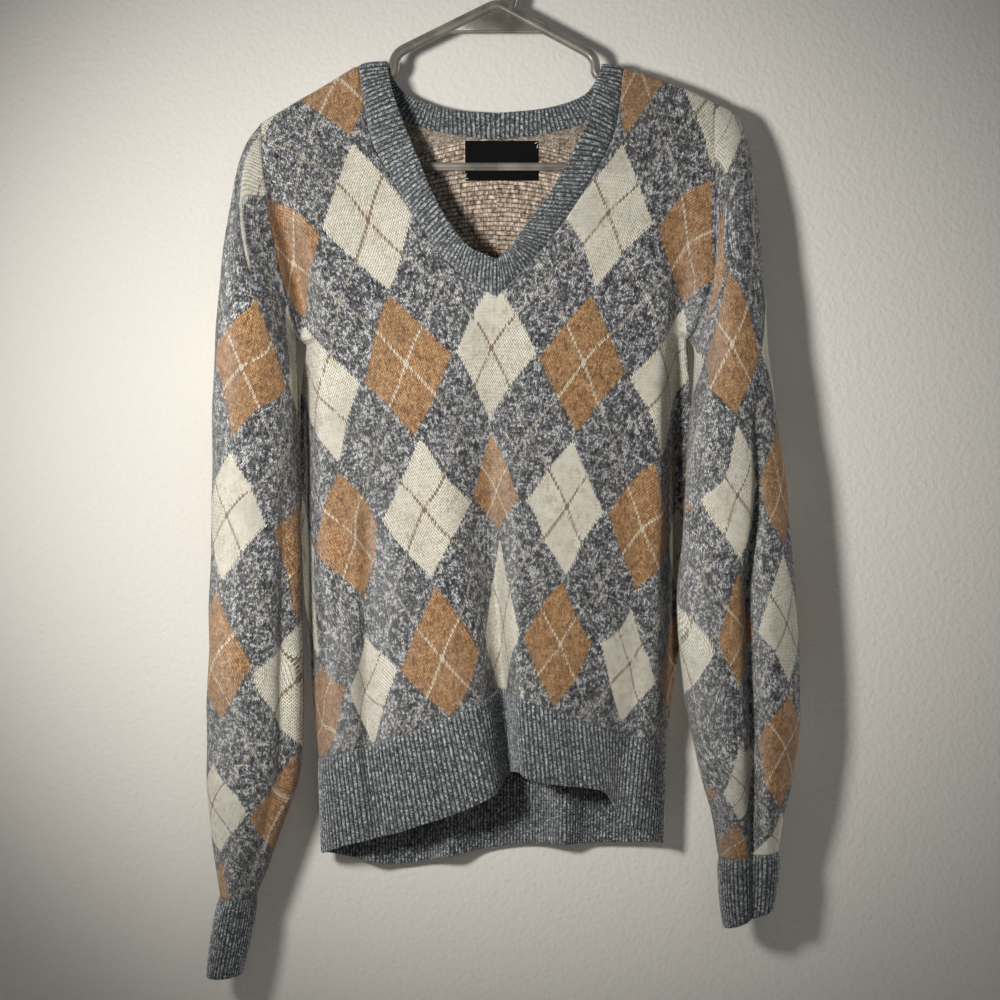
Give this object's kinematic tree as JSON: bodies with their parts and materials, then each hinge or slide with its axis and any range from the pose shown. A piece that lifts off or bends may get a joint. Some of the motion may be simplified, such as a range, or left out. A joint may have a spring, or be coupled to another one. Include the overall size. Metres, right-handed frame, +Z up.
{
  "type": "argyle v-neck sweater on a plastic hanger",
  "caption": "Long-sleeved argyle knit pullover with a ribbed V neckband, hem and cuffs, hanging from a one-piece plastic hanger that carries it at its hook.",
  "frame": {"origin": "inside of the crown of the hanger's hook, where a rail carries it", "axes": "+Z up, -Y out of the front of the sweater, +X at the right of someone who looks at the front"},
  "size_m": [0.4909, 0.1112, 0.8751],
  "materials": {
    "jersey_front": "fuzzy wool jersey, grey marl with tan and cream diamonds",
    "jersey_back": "fuzzy wool jersey, grey marl with tan and cream diamonds",
    "jersey_sleeve": "fuzzy wool jersey, grey marl with tan and cream diamonds",
    "rib": "dark blue-grey marl 1x1 rib",
    "label": "blank black woven label",
    "smoke_plastic": "smoke grey moulded plastic"
  },
  "bodies": {
    "root": {"front": "jersey_front", "back": "jersey_back", "sleeve_right": "jersey_sleeve", "sleeve_left": "jersey_sleeve", "neckband": "rib", "hem_rib_front": "rib", "hem_rib_back": "rib", "cuff_right": "rib", "cuff_left": "rib", "label": "label", "hanger": "smoke_plastic"}
  },
  "joints": []
}
